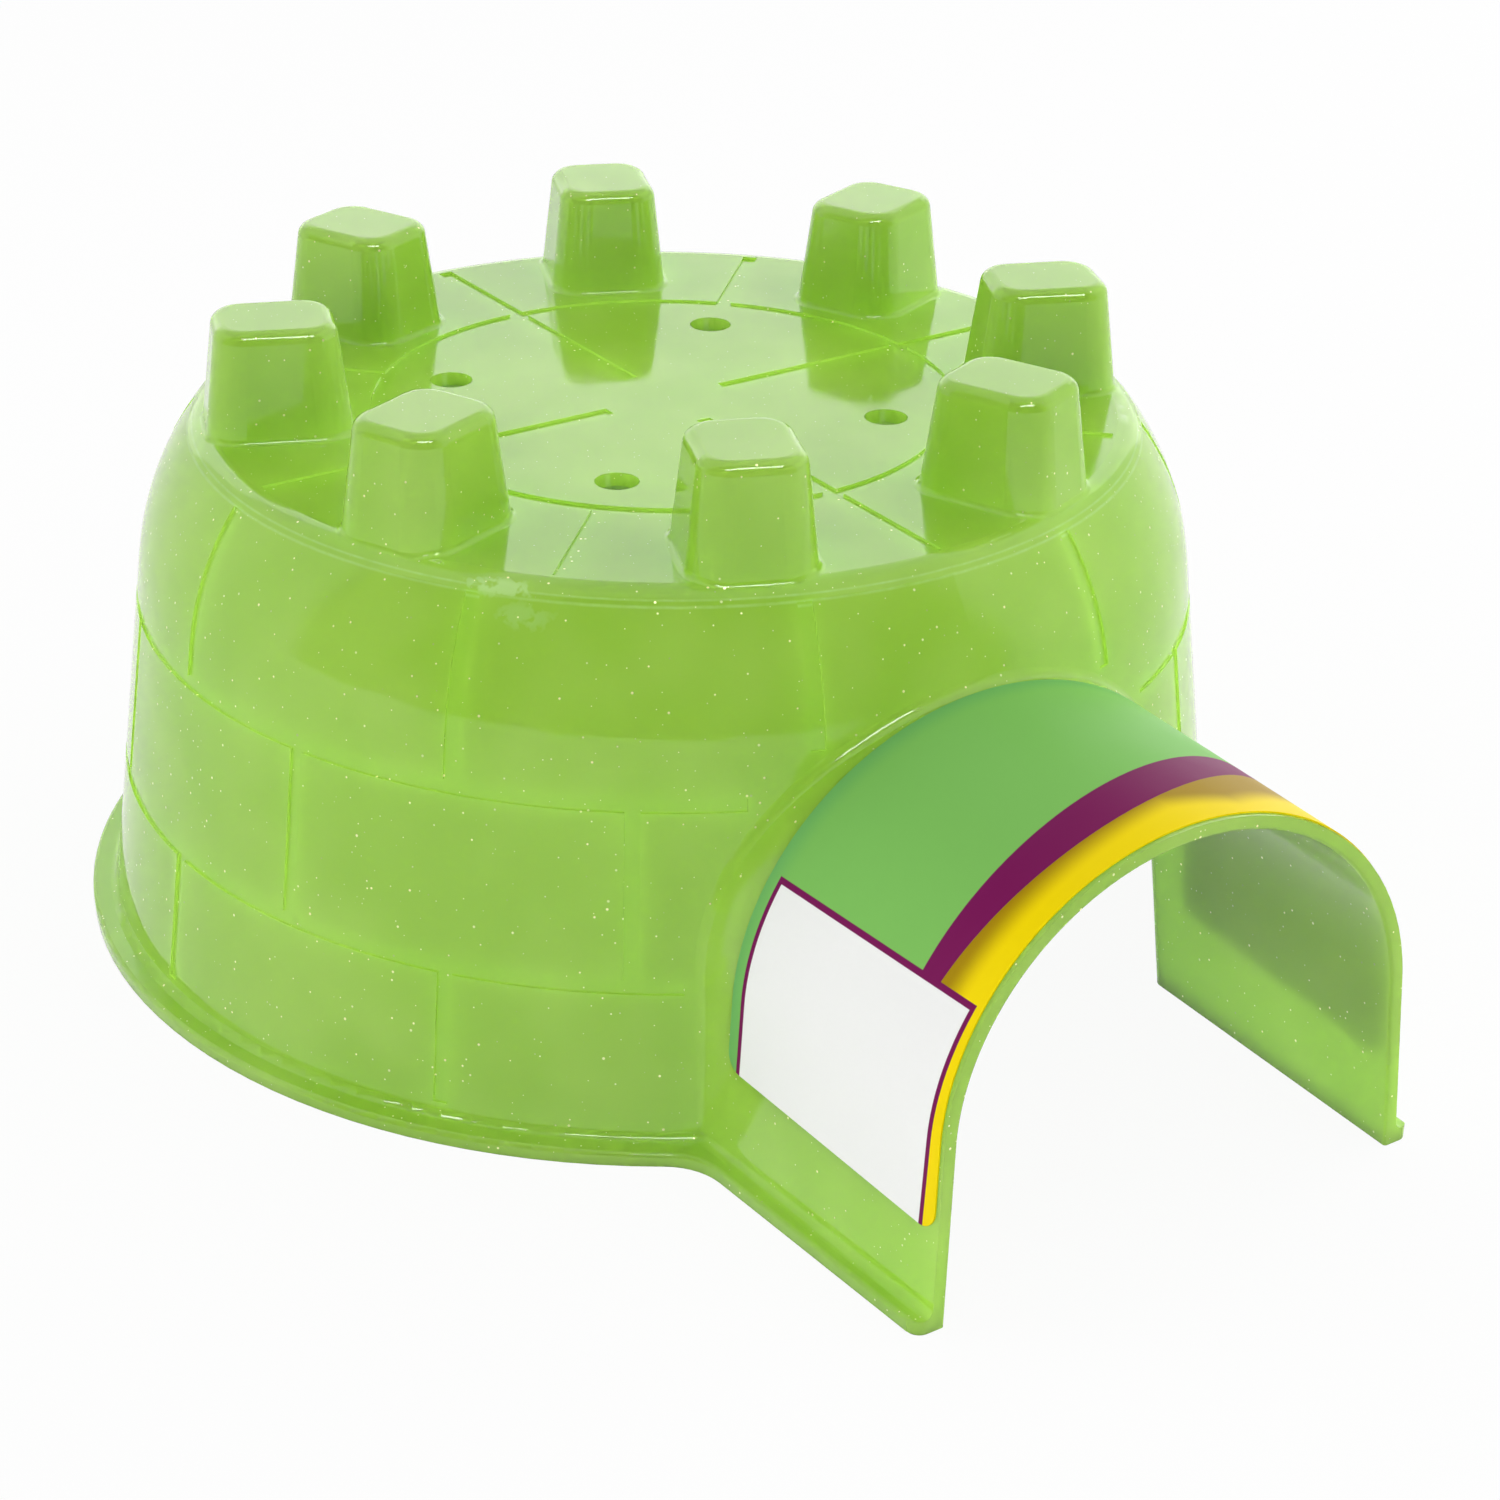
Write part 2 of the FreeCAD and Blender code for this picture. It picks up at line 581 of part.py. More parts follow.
def cut_bed_joint(body, name, middle, gap_angle):
    """A bed joint round the drum, which stops short of the tunnel on both sides."""
    sketch = sketch_on(body, name + "Section", "XZ_Plane", turn="180")
    draw_wall_band(sketch, "%s - Sizes.bed_joint_height / 2" % middle,
                   "%s + Sizes.bed_joint_height / 2" % middle)
    joint = feature(body, "Groove", name, sketch, ReferenceAxis=(sketch, ["V_Axis"]), Midplane=True)
    drive(joint, "Angle", "(360 - 2 * %s) * 1 deg" % gap_angle)
    return joint


def cut_upright_joints(body, name, sketch, count):
    """Upright joints through the middle of a band in a plane through the drum's axis."""
    joint = feature(body, "Pocket", name, sketch, SideType="Symmetric")
    drive(joint, "Length", "Sizes.upright_joint_width")
    return polar_pattern(body, name + "Ring", [joint], count, block_step)


def cut_deck_joints(body, name, turn, start):
    """Joints along the deck's radii, from a distance out to the rim."""
    sketch = sketch_on(body, name + "Plan", "XY_Plane", "Sizes.deck_height", turn)
    half = "Sizes.deck_joint_width / 2"
    end = "Sizes.deck_joint_end"
    polygon(sketch, [(start, "-" + half), (end, "-" + half), (end, half), (start, half)])
    joint = feature(body, "Pocket", name, sketch)
    drive(joint, "Length", "Sizes.joint_depth")
    return polar_pattern(body, name + "Ring", [joint], "Sizes.merlon_count / 2", "720 / Sizes.merlon_count")


def centre_over_origin(body):
    drive(body, "Placement.Base.x",
          "-(Sizes.mouth_reach - Sizes.drum_foot_radius - Sizes.flange_reach) / 2")


def shell():
    body = document.addObject("PartDesign::Body", "IglooShell")
    body.Label = "igloo_shell"
    flange_top = worth("Sizes.flange_thickness")
    flange_middle = worth("(Sizes.flange_cove + Sizes.tunnel_flange_reach) / 2")
    mouth = worth("Sizes.mouth_reach")

    # the drum, solid for now
    outline = sketch_on(body, "DrumOutline", "XZ_Plane")
    draw_drum(outline, "0", "0")
    feature(body, "Revolution", "Drum", outline, ReferenceAxis=(outline, ["V_Axis"]))

    # the tunnel, solid for now
    tunnel_loft(body, "AdditiveLoft", "Tunnel", "-Sizes.wall", "0")

    # the foot flange round both
    plan = sketch_on(body, "FlangePlan", "XY_Plane")
    draw_flange(plan)
    flange = feature(body, "Pad", "Flange", plan)
    drive(flange, "Length", "Sizes.flange_thickness")

    # soft inside corners where tunnel, drum and flange meet, and the flange's upper edge
    round_edges(body, "JunctionRound", "Sizes.junction_round", lambda edge, points:
                all(max(drum_gap(point), tunnel_gap(point)) < near_enough for point in points))
    round_edges(body, "FlangeCove", "Sizes.flange_cove", lambda edge, points:
                at_height(points, flange_top)
                and all(min(drum_gap(point), tunnel_gap(point)) < flange_middle for point in points))
    round_edges(body, "FlangeEdge", "Sizes.flange_edge_round", lambda edge, points:
                at_height(points, flange_top)
                and any(min(drum_gap(point), tunnel_gap(point)) > flange_middle for point in points)
                and any(point.x < mouth for point in points))

    # the merlons, solid for now
    merlons(body, "AdditiveLoft", "Merlon", "-%g" % clear, "Sizes.merlon_height", "0")
    deck = worth("Sizes.deck_height")
    round_edges(body, "MerlonFootRound", "Sizes.merlon_foot_round", lambda edge, points:
                all(deck - clear < point.z < deck + level_enough
                    and merlon_gap(point) < near_enough for point in points))
    merlon_top = worth("Sizes.deck_height + Sizes.merlon_height")
    round_edges(body, "MerlonRound", "Sizes.merlon_top_round", lambda edge, points:
                at_height(points, merlon_top))

    # the sunk joints between the blocks
    cut_bed_joint(body, "LowerBed", "Sizes.lower_bed_height", "Sizes.lower_bed_gap_angle")
    cut_bed_joint(body, "UpperBed", "Sizes.upper_bed_height", "Sizes.upper_bed_gap_angle")
    lower = sketch_on(body, "LowerCourseBand", "XZ_Plane", turn="1.5 * " + block_step)
    draw_wall_band(lower, "Sizes.block_foot_height", "Sizes.lower_bed_height")
    cut_upright_joints(body, "LowerCourse", lower, "Sizes.blocks_per_course - 2")
    middle = sketch_on(body, "MiddleCourseBand", "XZ_Plane", turn=block_step)
    draw_wall_band(middle, "Sizes.lower_bed_height", "Sizes.upper_bed_height")
    cut_upright_joints(body, "MiddleCourse", middle, "Sizes.blocks_per_course - 1")
    block_head = "Sizes.deck_height - Sizes.block_head_drop"
    upper = sketch_on(body, "UpperCourseBand", "XZ_Plane", turn="1.5 * " + block_step)
    draw_course_band(upper, "Sizes.upper_bed_height", block_head)
    cut_upright_joints(body, "UpperCourse", upper, "Sizes.blocks_per_course - 2")
    over = sketch_on(body, "OverTunnelBand", "XZ_Plane", turn="-0.5 * " + block_step)
    draw_shoulder_band(over, "Sizes.over_tunnel_joint_height", block_head)
    cut_upright_joints(body, "OverTunnel", over, "2")

    # the deck's joints: a ring, four long radii and four short ones
    ring = sketch_on(body, "DeckRingSection", "XZ_Plane")
    inner = "Sizes.deck_ring_radius - Sizes.deck_ring_width / 2"
    outer = "Sizes.deck_ring_radius + Sizes.deck_ring_width / 2"
    sunk = "Sizes.deck_height - Sizes.joint_depth"
    over_deck = "Sizes.deck_height + %g" % clear
    polygon(ring, [(inner, sunk), (outer, sunk), (outer, over_deck), (inner, over_deck)])
    feature(body, "Groove", "DeckRing", ring, ReferenceAxis=(ring, ["V_Axis"]))
    cut_deck_joints(body, "LongDeckJoint", "0", "Sizes.deck_joint_start")
    cut_deck_joints(body, "ShortDeckJoint", "360 / Sizes.merlon_count", "Sizes.deck_ring_radius")

    # hollow the drum, the tunnel and the merlons from below
    cavity = sketch_on(body, "CavityOutline", "XZ_Plane")
    draw_drum(cavity, "-%g" % clear, "Sizes.wall")
    feature(body, "Groove", "Cavity", cavity, ReferenceAxis=(cavity, ["V_Axis"]))
    tunnel_loft(body, "SubtractiveLoft", "Passage", "0", "-%g" % clear)
    round_edges(body, "DoorwayRound", "Sizes.doorway_round", lambda edge, points:
                all(max(drum_gap(point, "Sizes.wall"), tunnel_gap(point, "0")) < near_enough
                    for point in points))
    merlons(body, "SubtractiveLoft", "MerlonHollow", "-Sizes.wall - %g" % clear,
            "Sizes.merlon_height - Sizes.wall", "Sizes.wall")

    # vent holes through the deck
    vents = sketch_on(body, "VentPlan", "XY_Plane", "Sizes.deck_height", half_merlon_step + " * 2")
    middle = (worth("Sizes.vent_ring_radius"), 0, 0)
    hole = vents.addGeometry(Part.Circle(vector(*middle), vector(0, 0, 1), worth("Sizes.vent_diameter / 2")))
    place_point(vents, "Sizes.vent_ring_radius", "0", hole, 3)
    dimension(vents, "Sizes.vent_diameter", "Diameter", hole)
    vent = feature(body, "Pocket", "Vent", vents, Type="ThroughAll")
    polar_pattern(body, "VentRing", [vent], "Sizes.vent_count", "360 / Sizes.vent_count")

    # the leaning mouth, its inside edge and the flange's corners beside it
    cut_mouth(body)
    round_edges(body, "MouthEdge", "Sizes.mouth_edge_round", lambda edge, points:
                all(abs(point.x - worth(mouth_plane("%.6f" % point.z))) < level_enough
                    and tunnel_gap(point, "0") < near_enough for point in points)
                and max(point.z for point in points) > flange_top)
    round_flange_tips(body)
    centre_over_origin(body)
    return body


def label():
    body = document.addObject("PartDesign::Body", "TunnelLabel")
    body.Label = "tunnel_label"

    # the tunnel's outside grown by the film, cut to the label's outline in side view
    tunnel_loft(body, "AdditiveLoft", "LabelOutside", "-Sizes.wall - Sizes.label_thickness", "0")
    outline = sketch_on(body, "LabelOutline", "XZ_Plane")
    frame_foot = "-%g" % clear
    frame_top = above_tunnel + " + %g" % clear
    frame_front = "Sizes.mouth_reach + %g" % (2 * clear)
    frame_back = "Sizes.tunnel_root - %g" % clear
    polygon(outline, [(frame_back, frame_foot), (frame_front, frame_foot),
                      (frame_front, frame_top), (frame_back, frame_top)])
    back = "%s + Sizes.label_drum_gap" % shoulder_reach("Sizes.tunnel_crown_height + Sizes.wall")
    front_foot = "Sizes.label_foot_height"
    front = mouth_plane(front_foot, "Sizes.label_mouth_gap")
    back_foot = "%s + (%s - (%s)) * tan(Sizes.label_foot_rise)" % (front_foot, front, back)
    polygon(outline, [(back, back_foot), (front, front_foot),
                      (mouth_plane(above_tunnel, "Sizes.label_mouth_gap"), above_tunnel),
                      (back, above_tunnel)])
    cut_across(body, "LabelEnds", outline)
    highest = worth(back_foot) + level_enough
    round_edges(body, "LabelCorner", "Sizes.label_corner", lambda edge, points:
                points[0].y * points[-1].y < 0 and max(point.z for point in points) < highest)

    # all but the film
    tunnel_loft(body, "SubtractiveLoft", "LabelInside", "-Sizes.wall", "-%g" % clear)
    centre_over_origin(body)
    return body


pieces = [shell(), label()]
document.recompute()
for item in document.Objects:
    if "Invalid" in item.State or "Error" in item.State:
        raise RuntimeError("%s did not build: %s" % (item.Name, item.State))
for piece in pieces:
    if piece.Shape.isNull() or not piece.Shape.isValid() or len(piece.Shape.Solids) != 1:
        raise RuntimeError("%s is not one sound solid" % piece.Label)
os.makedirs("parts", exist_ok=True)
for piece in pieces:
    piece.Shape.exportStep("parts/%s.step" % piece.Label)
    print(piece.Label, "%.1f mm3" % piece.Shape.Volume, piece.Shape.BoundBox)
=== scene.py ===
import math

import bpy
from mathutils import Matrix, Vector


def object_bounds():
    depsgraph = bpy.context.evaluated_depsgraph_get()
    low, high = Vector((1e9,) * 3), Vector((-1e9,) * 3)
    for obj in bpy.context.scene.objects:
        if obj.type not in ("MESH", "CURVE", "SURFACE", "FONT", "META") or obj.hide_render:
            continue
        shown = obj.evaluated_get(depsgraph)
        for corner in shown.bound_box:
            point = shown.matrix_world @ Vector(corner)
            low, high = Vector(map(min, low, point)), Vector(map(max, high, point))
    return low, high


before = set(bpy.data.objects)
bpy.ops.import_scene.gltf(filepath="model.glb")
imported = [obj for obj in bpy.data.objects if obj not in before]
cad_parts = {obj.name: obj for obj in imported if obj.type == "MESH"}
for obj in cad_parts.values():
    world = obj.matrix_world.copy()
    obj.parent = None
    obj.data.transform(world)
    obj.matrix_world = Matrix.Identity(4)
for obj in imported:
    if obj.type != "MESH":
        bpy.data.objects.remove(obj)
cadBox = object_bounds()
print("frame loaded:", sorted(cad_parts))

mm = 0.001
low, high = cadBox
drumAxis = low.x + (high.y - low.y) / 2  # the drum's flange is the widest thing in Y


# node helpers: inputs may be numbers, colours or other nodes' outputs

def put(tree, socket, value):
    if isinstance(value, bpy.types.NodeSocket):
        tree.links.new(value, socket)
    else:
        socket.default_value = value


def node(tree, kind, settings=None, **inputs):
    made = tree.nodes.new("ShaderNode" + kind)
    for name, value in (settings or {}).items():
        setattr(made, name, value)
    for name, value in inputs.items():
        put(tree, made.inputs[name.replace("_", " ")], value)
    return made


def maths(tree, operation, first, second=0.0, clamp=False):
    made = tree.nodes.new("ShaderNodeMath")
    made.operation = operation
    made.use_clamp = clamp
    put(tree, made.inputs[0], first)
    put(tree, made.inputs[1], second)
    return made.outputs[0]


def ramp(tree, value, start, end, smooth=True):  # 0 below start, 1 above end
    made = node(tree, "MapRange", {"interpolation_type": "SMOOTHSTEP" if smooth else "LINEAR"})
    put(tree, made.inputs["Value"], value)
    made.inputs["From Min"].default_value = start
    made.inputs["From Max"].default_value = end
    return made.outputs["Result"]


def blendColours(tree, share, under, over):
    made = tree.nodes.new("ShaderNodeMix")
    made.data_type = "RGBA"
    put(tree, made.inputs[0], share)
    put(tree, made.inputs[6], under)
    put(tree, made.inputs[7], over)
    return made.outputs[2]


def blendFloats(tree, share, under, over):
    made = tree.nodes.new("ShaderNodeMix")
    put(tree, made.inputs[0], share)
    put(tree, made.inputs[2], under)
    put(tree, made.inputs[3], over)
    return made.outputs[0]


def product(tree, first, *others):
    for other in others:
        first = maths(tree, "MULTIPLY", first, other)
    return first


def noise(tree, position, scale, detail, roughness=0.5):
    made = node(tree, "TexNoise", None, Vector=position, Scale=scale, Detail=detail, Roughness=roughness)
    return made.outputs["Fac"]


def bumped(tree, shader, height, strength, distance):
    bump = node(tree, "Bump", None, Height=height, Strength=strength, Distance=distance)
    put(tree, shader.inputs["Normal"], bump.outputs["Normal"])


def seenDirectly(tree):    # 1 for camera, mirrored and transmitted rays, 0 for those that only light
    rays = node(tree, "LightPath")
    straight = maths(tree, "MAXIMUM", rays.outputs["Is Glossy Ray"], rays.outputs["Is Transmission Ray"])
    return maths(tree, "MAXIMUM", rays.outputs["Is Camera Ray"], straight)


def newMaterial(name):
    material = bpy.data.materials.new(name)
    material.use_nodes = True
    tree = material.node_tree
    shader = tree.nodes["Principled BSDF"]
    return material, tree, shader


def dress(nodeName, material):
    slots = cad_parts[nodeName].material_slots
    for slot in slots:
        slot.material = material


# the shell: translucent, glossy light-green plastic with fine pale glitter all through it

shellPlastic = {
    "green": (0.290, 0.535, 0.050, 1),
    "paleGreen": (0.330, 0.570, 0.072, 1),
    "cloudSize": 14 * mm,
    "cloudRange": (0.35, 0.7),
    "ior": 1.5,
    "glowDepth": 4.5 * mm,
    "glowColours": (0.85, 1.0, 0.60),
    "polish": (0.05, 0.11),     # roughness where least and most worn
    "wearScale": 90.0,
    "wearRoughness": 0.65,
    "wearRange": (0.3, 0.75),
    "orangePeel": (6 * mm, 0.12, 0.3 * mm),     # size, strength and height of the ripples
}

glitter = {
    "spacing": 0.75 * mm,
    "radii": (0.06 * mm, 0.17 * mm),
    "smallerOften": 3.0,        # the higher, the fewer large spots
    "share": 0.60,              # of the places that hold a spot
    "fade": 0.4,                # the outer part of a spot's radius, where it fades
    "faintest": 0.35,
    "colour": (1.0, 0.97, 0.55, 1),
    "roughness": 0.6,
}

# scuffs worn into the plastic, and two fine pale lines round the rim that are a painted highlight, both in
# one pale green
wearAndRimHighlight = {
    "colour": (0.50, 0.74, 0.28, 1),
    "raggedScale": 700.0,
    "raggedRoughness": 0.7,
    "raggedRange": (0.62, 0.76),
    "middleMore": 0.3,          # a scuff's middle is worn more than its edge
    "solidReach": 0.3,          # of a scuff's reach, not faded
    "scuffs": {                 # middle, reach across, along and down, strength
        "rim": ((28.7 * mm, -35.6 * mm, 49.6 * mm), (1.5 * mm, 5.0 * mm, 1.3 * mm), 0.7),
        "shoulder": ((31.4 * mm, -35.0 * mm, 47.7 * mm), (1.8 * mm, 4.2 * mm, 1.9 * mm), 0.25),
    },
    "paintedRimHighlights": (45.9 * mm, 46.35 * mm),    # radii of two fine pale lines round the rim, a painted highlight
    "rimHighlightHalfWidth": 0.14 * mm,
    "rimHighlightStrength": 0.6,
    "rimHighlightsAbove": 47 * mm,
}


def glitterSpots(tree, position, look):
    spacing = look["spacing"]
    cells = node(tree, "TexVoronoi", {"voronoi_dimensions": "3D"}, Vector=position, Scale=1 / spacing)
    chance = node(tree, "SeparateColor", None, Color=cells.outputs["Color"])
    smallest, largest = (radius / spacing for radius in look["radii"])
    radius = blendFloats(tree, maths(tree, "POWER", chance.outputs["Blue"], look["smallerOften"]),
                         smallest, largest)
    inward = maths(tree, "SUBTRACT", 1.0, maths(tree, "DIVIDE", cells.outputs["Distance"], radius))
    kept = maths(tree, "LESS_THAN", chance.outputs["Red"], look["share"])
    bright = maths(tree, "ADD", chance.outputs["Green"], look["faintest"], True)
    return product(tree, ramp(tree, inward, 0.0, look["fade"]), kept, bright)


def scuffMark(tree, position, ragged, look, middle, reach, strength):
    local = node(tree, "Mapping", {"vector_type": "TEXTURE"}, Vector=position, Scale=reach,
                 Location=(middle[0] + drumAxis, middle[1], middle[2]),
                 Rotation=(0, 0, math.atan2(middle[1], middle[0])))
    away = node(tree, "VectorMath", {"operation": "LENGTH"})
    put(tree, away.inputs[0], local.outputs[0])
    near = ramp(tree, away.outputs["Value"], 1.0, look["solidReach"])
    uneven = maths(tree, "ADD", ragged, product(tree, near, look["middleMore"]))
    return product(tree, ramp(tree, uneven, *look["raggedRange"]), near, strength)


def wornPlacesAndRimHighlight(tree, position, look):
    ragged = noise(tree, position, look["raggedScale"], 2.0, look["raggedRoughness"])
    marks = 0.0
    for middle, reach, strength in look["scuffs"].values():
        mark = scuffMark(tree, position, ragged, look, middle, reach, strength)
        marks = maths(tree, "MAXIMUM", marks, mark)
    # two fine pale lines round the rim: a painted highlight, not wear
    split = node(tree, "SeparateXYZ", None, Vector=position)
    across = maths(tree, "SUBTRACT", split.outputs["X"], drumAxis)
    along = split.outputs["Y"]
    fromAxis = maths(tree, "SQRT", maths(tree, "ADD", product(tree, across, across),
                                         product(tree, along, along)))
    onRim = maths(tree, "GREATER_THAN", split.outputs["Z"], look["rimHighlightsAbove"])
    strength = product(tree, ragged, look["rimHighlightStrength"], onRim)
    for radius in look["paintedRimHighlights"]:
        beside = maths(tree, "ABSOLUTE", maths(tree, "SUBTRACT", fromAxis, radius))
        mark = product(tree, ramp(tree, beside, look["rimHighlightHalfWidth"], 0.0), strength)
        marks = maths(tree, "MAXIMUM", marks, mark)
    return marks


def shellMaterial(look, glitterLook, wearAndRimHighlightLook):
    material, tree, shader = newMaterial("shellPlastic")
    place = node(tree, "TexCoord").outputs["Object"]
    clouds = noise(tree, place, 1 / look["cloudSize"], 2.0)
    colour = blendColours(tree, ramp(tree, clouds, *look["cloudRange"]), look["green"], look["paleGreen"])
    spots = glitterSpots(tree, place, glitterLook)
    # pale green of the scuffs, and of the painted highlight lines round the rim
    colour = blendColours(tree, wornPlacesAndRimHighlight(tree, place, wearAndRimHighlightLook), colour, wearAndRimHighlightLook["colour"])
    colour = blendColours(tree, spots, colour, glitterLook["colour"])
    put(tree, shader.inputs["Base Color"], colour)
    put(tree, shader.inputs["Metallic"], spots)
    worn = ramp(tree, noise(tree, place, look["wearScale"], 2.0, look["wearRoughness"]), *look["wearRange"])
    rough = blendFloats(tree, worn, *look["polish"])
    put(tree, shader.inputs["Roughness"], blendFloats(tree, spots, rough, glitterLook["roughness"]))
    shader.inputs["IOR"].default_value = look["ior"]
    shader.subsurface_method = "BURLEY"     # the quick kind, which keeps a full render short
    shader.inputs["Subsurface Weight"].default_value = 1.0
    shader.inputs["Subsurface Radius"].default_value = look["glowColours"]
    shader.inputs["Subsurface Scale"].default_value = look["glowDepth"]
    size, strength, height = look["orangePeel"]
    bumped(tree, shader, noise(tree, place, 1 / size, 1.0), strength, height)
    return material


dress("igloo_shell", shellMaterial(shellPlastic, glitter, wearAndRimHighlight))
print("shell plastic made")


# the label: printed film with a green field, a dark stripe, a yellow band at the mouth and a
# blank pale panel with a dark border on each side

labelPrint = {
    "green": (0.220, 0.550, 0.118, 1),
    "paintedShadeTeal": (0.130, 0.440, 0.140, 1),
    "paintedShadeTealShare": 0.6,
    "paintedShadeTealEdge": (54.5 * mm, 51.6 * mm),     # where the green turns to teal, a painted shade towards the drum, where the label meets it
    "purple": (0.195, 0.008, 0.095, 1),
    "yellow": (0.980, 0.745, 0.002, 1),
    "shade": (0.260, 0.130, 0.004, 1),
    "shadeShare": 0.8,
    "shadeReach": 2.4 * mm,     # from the stripe into the yellow band
    "shadeSolid": 0.8,          # of the stripe's half width, where the shade is darkest
    "paintedShadeSpread": (0.45, 3.0 * mm),    # how much farther it reaches past the crown, and at most: a painted shade darkening the far side
    "panel": (0.950, 0.950, 0.945, 1),
    "panelGrain": (0.700, 0.720, 0.680, 1),
    "grainShare": 0.06,
    "grainScale": 2500.0,
    "stripeMiddle": 72.45 * mm,     # from the drum's axis, at the crown
    "stripeSlant": -0.17,
    "stripeBend": -5.5,
    "stripeHalfWidth": 2.2 * mm,    # at the crown
    "stripeTaper": -2.2,
    "panelBack": 53.2 * mm,
    "panelFront": 79.3 * mm,
    "panelTop": 28.8 * mm,
    "border": 0.5 * mm,
    "stripeSoft": 0.04 * mm,        # half the width over which a printed edge blurs
    "panelSoft": 0.03 * mm,
    "panelTopSoft": 0.05 * mm,
    "roughness": (0.30, 0.42),
    "sheenScale": 160.0,
    "ior": 1.48,
    "gloss": 0.06,
    "ripples": (220.0, 0.08, 0.1 * mm),     # scale, strength and height
}


def panelArea(tree, reach, height, look, inset):
    soft = look["panelSoft"]
    back, front, top = look["panelBack"] + inset, look["panelFront"] - inset, look["panelTop"] - inset
    return product(tree, ramp(tree, reach, back - soft, back + soft, False),
                   ramp(tree, reach, front + soft, front - soft, False),
                   ramp(tree, height, top, top - look["panelTopSoft"], False))


def labelMaterial(look):
    material, tree, shader = newMaterial("labelPrint")
    place = node(tree, "TexCoord").outputs["Object"]
    split = node(tree, "SeparateXYZ", None, Vector=place)
    reach = maths(tree, "SUBTRACT", split.outputs["X"], drumAxis)
    side = split.outputs["Y"]
    height = split.outputs["Z"]
    square = product(tree, side, side)
    bow = maths(tree, "ADD", product(tree, square, look["stripeBend"]),
                product(tree, side, look["stripeSlant"]))
    offset = maths(tree, "SUBTRACT", reach, maths(tree, "ADD", bow, look["stripeMiddle"]))
    half = look["stripeHalfWidth"]
    beside = maths(tree, "SUBTRACT", maths(tree, "ABSOLUTE", offset), half)
    outside = maths(tree, "SUBTRACT", beside, product(tree, square, look["stripeTaper"]))
    stripe = ramp(tree, outside, look["stripeSoft"], -look["stripeSoft"], False)

    # painted shade: the green darkens to teal towards the drum, where the label meets it
    shadeTowardsDrum = ramp(tree, reach, *look["paintedShadeTealEdge"])
    colour = blendColours(tree, product(tree, shadeTowardsDrum, look["paintedShadeTealShare"]), look["green"], look["paintedShadeTeal"])
    # painted shade: past the crown the brown beside the stripe widens, darkening the far side of the yellow
    # band
    spread, mostSpread = look["paintedShadeSpread"]
    pastCrown = maths(tree, "MAXIMUM", side, 0.0)
    paintedShadeWidening = maths(tree, "MINIMUM", product(tree, pastCrown, spread), mostSpread)
    fromStripe = maths(tree, "SUBTRACT", offset, paintedShadeWidening)
    shade = ramp(tree, fromStripe, half + look["shadeReach"], half * look["shadeSolid"])
    band = blendColours(tree, product(tree, shade, look["shadeShare"]), look["yellow"], look["shade"])
    colour = blendColours(tree, maths(tree, "GREATER_THAN", offset, 0.0), colour, band)
    colour = blendColours(tree, stripe, colour, look["purple"])
    colour = blendColours(tree, panelArea(tree, reach, height, look, 0.0), colour, look["purple"])
    grain = noise(tree, place, look["grainScale"], 2.0)
    paper = blendColours(tree, product(tree, grain, look["grainShare"]), look["panel"], look["panelGrain"])
    colour = blendColours(tree, panelArea(tree, reach, height, look, look["border"]), colour, paper)
    put(tree, shader.inputs["Base Color"], colour)

    sheen = noise(tree, place, look["sheenScale"], 4.0)
    put(tree, shader.inputs["Roughness"], blendFloats(tree, sheen, *look["roughness"]))
    shader.inputs["IOR"].default_value = look["ior"]
    shader.inputs["Specular IOR Level"].default_value = look["gloss"]
    scale, strength, rippleHeight = look["ripples"]
    bumped(tree, shader, noise(tree, place, scale, 2.0), strength, rippleHeight)
    return material


dress("tunnel_label", labelMaterial(labelPrint))
print("label print made")


# floor and backdrop

studio = {
    "floorColour": (0.90, 0.90, 0.90, 1),
    "floorSize": 6.0,
    "floorRoughness": 0.9,
    "floorGloss": 0.1,
    "whiteShare": 0.94,         # of the floor's look; the rest is its shading, with the shadow
    "worldLight": 0.75,
    "front": (0.81, -0.59, 0.0),    # the camera's side of the room
    "frontDimming": 0.88,       # how much darker that side is in reflections
    "frontEdge": (0.12, 0.26),  # where that side begins, as the cosine of the angle from its middle
}


def studioFloor(look):
    bpy.ops.mesh.primitive_plane_add(size=look["floorSize"], location=(0, 0, 0))
    floor = bpy.context.object
    floor.name = "studioFloor"
    material, tree, shader = newMaterial("studioFloor")
    shader.inputs["Base Color"].default_value = look["floorColour"]
    shader.inputs["Roughness"].default_value = look["floorRoughness"]
    shader.inputs["Specular IOR Level"].default_value = look["floorGloss"]
    glow = node(tree, "Emission", None, Color=(1, 1, 1, 1), Strength=1.0)
    mix = node(tree, "MixShader")
    put(tree, mix.inputs[0], product(tree, seenDirectly(tree), look["whiteShare"]))
    put(tree, mix.inputs[1], shader.outputs[0])
    put(tree, mix.inputs[2], glow.outputs[0])
    put(tree, tree.nodes["Material Output"].inputs["Surface"], mix.outputs[0])
    floor.data.materials.append(material)


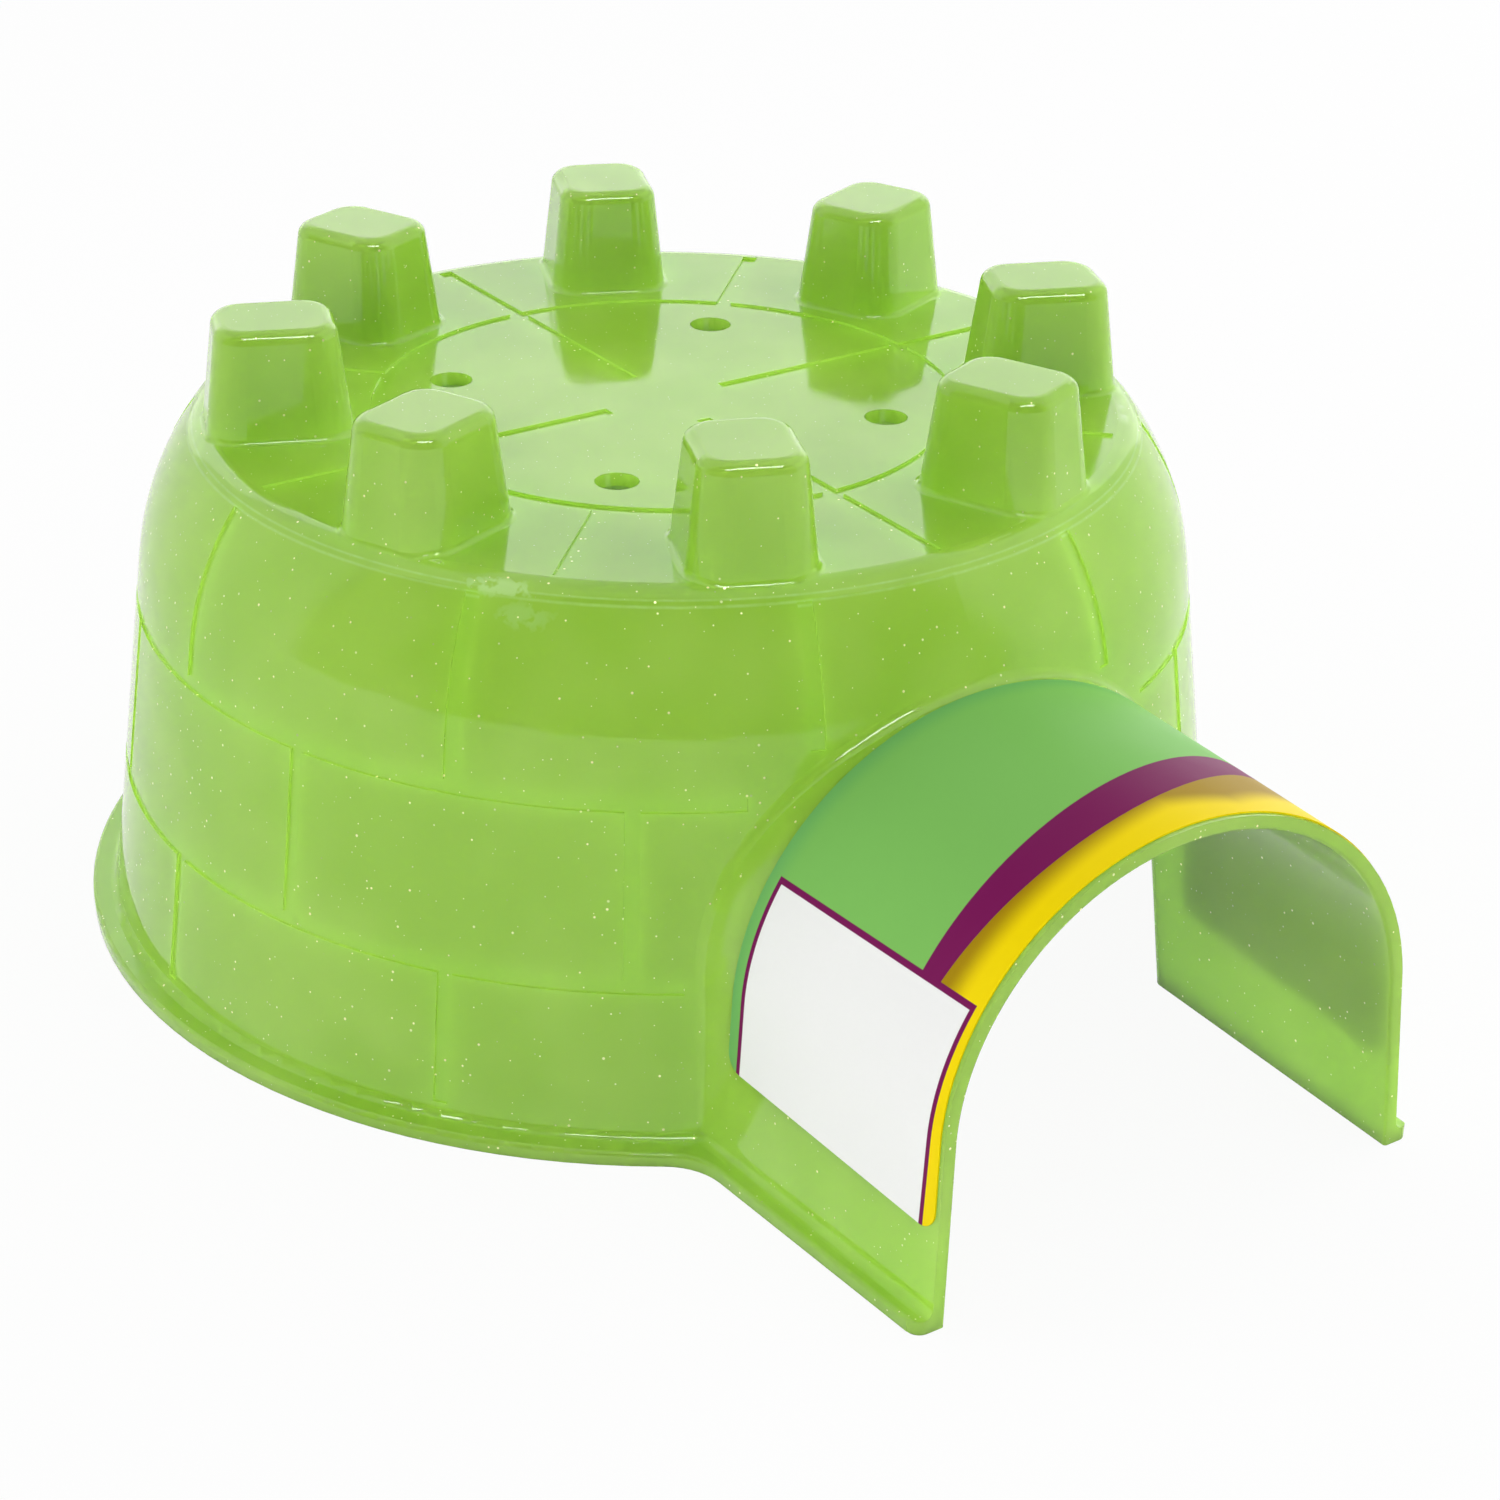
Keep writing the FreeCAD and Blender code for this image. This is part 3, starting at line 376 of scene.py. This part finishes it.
def studioWorld(look):
    world = bpy.data.worlds.new("studioWorld")
    world.use_nodes = True
    tree = world.node_tree
    light = tree.nodes["Background"]
    light.inputs["Strength"].default_value = look["worldLight"]
    rays = node(tree, "LightPath")
    direction = node(tree, "TexCoord").outputs["Generated"]
    facing = node(tree, "VectorMath", {"operation": "DOT_PRODUCT"})
    put(tree, facing.inputs[0], direction)
    facing.inputs[1].default_value = Vector(look["front"]).normalized()
    inFront = ramp(tree, facing.outputs["Value"], *look["frontEdge"])
    dim = product(tree, inFront, look["frontDimming"], rays.outputs["Is Glossy Ray"])
    white = node(tree, "Background", None, Color=(1, 1, 1, 1), Strength=maths(tree, "SUBTRACT", 1.0, dim))
    mix = node(tree, "MixShader")
    put(tree, mix.inputs[0], seenDirectly(tree))
    put(tree, mix.inputs[1], light.outputs[0])
    put(tree, mix.inputs[2], white.outputs[0])
    put(tree, tree.nodes["World Output"].inputs["Surface"], mix.outputs[0])
    bpy.context.scene.world = world


studioFloor(studio)
studioWorld(studio)
print("studio made")


# soft lamps, most of them kept out of reflections; the one inside stands for what the walls let through

lampAim = Vector((0, 0, 0.03))
lamps = {
    "overhead": {"place": (-0.15, 0.15, 0.75), "size": (0.70, 0.70), "watts": 2.0},
    "front": {"place": (0.40, -0.49, 0.22), "size": (0.50, 0.30), "watts": 1.6},
    "left": {"place": (-0.40, -0.55, 0.30), "size": (0.60, 0.50), "watts": 2.5},
    "right": {"place": (0.60, 0.35, 0.35), "size": (0.50, 0.50), "watts": 1.7},
    "behind": {"place": (0.10, 0.75, 0.28), "size": (0.60, 0.50), "watts": 4.0},
    "mouth": {"place": (0.70, -0.22, 0.14), "size": (0.30, 0.20), "watts": 0.1},
    "inside": {"place": (-0.011, 0.0, 0.008), "size": (0.04, 0.04), "watts": 0.005},
    "backdrop": {"place": (-0.95, 0.55, 0.42), "size": (1.70, 0.90), "watts": 3.6, "mirrored": True},
    "glint": {"place": (0.318, -0.116, 0.565), "size": (0.42, 0.11), "watts": 2.2,
              "mirrored": True, "onlyMirrored": True},
}


def studioLamp(name, look):
    data = bpy.data.lights.new(name, "AREA")
    data.shape = "RECTANGLE"
    data.size, data.size_y = look["size"]
    data.energy = look["watts"]
    lamp = bpy.data.objects.new(name, data)
    lamp.location = look["place"]
    lamp.visible_glossy = look.get("mirrored", False)
    lamp.visible_diffuse = not look.get("onlyMirrored", False)
    lamp.visible_transmission = False
    aim = lampAim - lamp.location
    lamp.rotation_euler = aim.to_track_quat("-Z", "Y").to_euler()
    bpy.context.scene.collection.objects.link(lamp)


for lampName, lampLook in lamps.items():
    studioLamp(lampName, lampLook)
print("lamps placed")


# the camera stands where the photograph's camera stood

photoCamera = {
    "place": (249.7 * mm, -169.9 * mm, 170.5 * mm),
    "heading": 145.34,   # degrees from +X, towards +Y
    "downward": 26.96,
    "tilt": 1.10,
    "lens": 81.63,
    "sensorWidth": 36,
}


def placeCamera(look):
    heading, downward, tilt = (math.radians(look[name]) for name in ("heading", "downward", "tilt"))
    ahead = Vector((math.cos(heading) * math.cos(downward), math.sin(heading) * math.cos(downward),
                    -math.sin(downward)))
    right = Vector((math.sin(heading), -math.cos(heading), 0))
    up = right.cross(ahead)
    tiltedRight = math.cos(tilt) * right + math.sin(tilt) * up
    tiltedUp = math.cos(tilt) * up - math.sin(tilt) * right
    data = bpy.data.cameras.new("photoCamera")
    data.sensor_fit = "HORIZONTAL"
    data.sensor_width = look["sensorWidth"]
    data.lens = look["lens"]
    camera = bpy.data.objects.new("photoCamera", data)
    turn = Matrix((tiltedRight, tiltedUp, -ahead)).transposed().to_4x4()
    camera.matrix_world = Matrix.Translation(look["place"]) @ turn
    bpy.context.scene.collection.objects.link(camera)
    bpy.context.scene.camera = camera


placeCamera(photoCamera)
bpy.context.scene.view_settings.view_transform = "Standard"
print("camera placed")
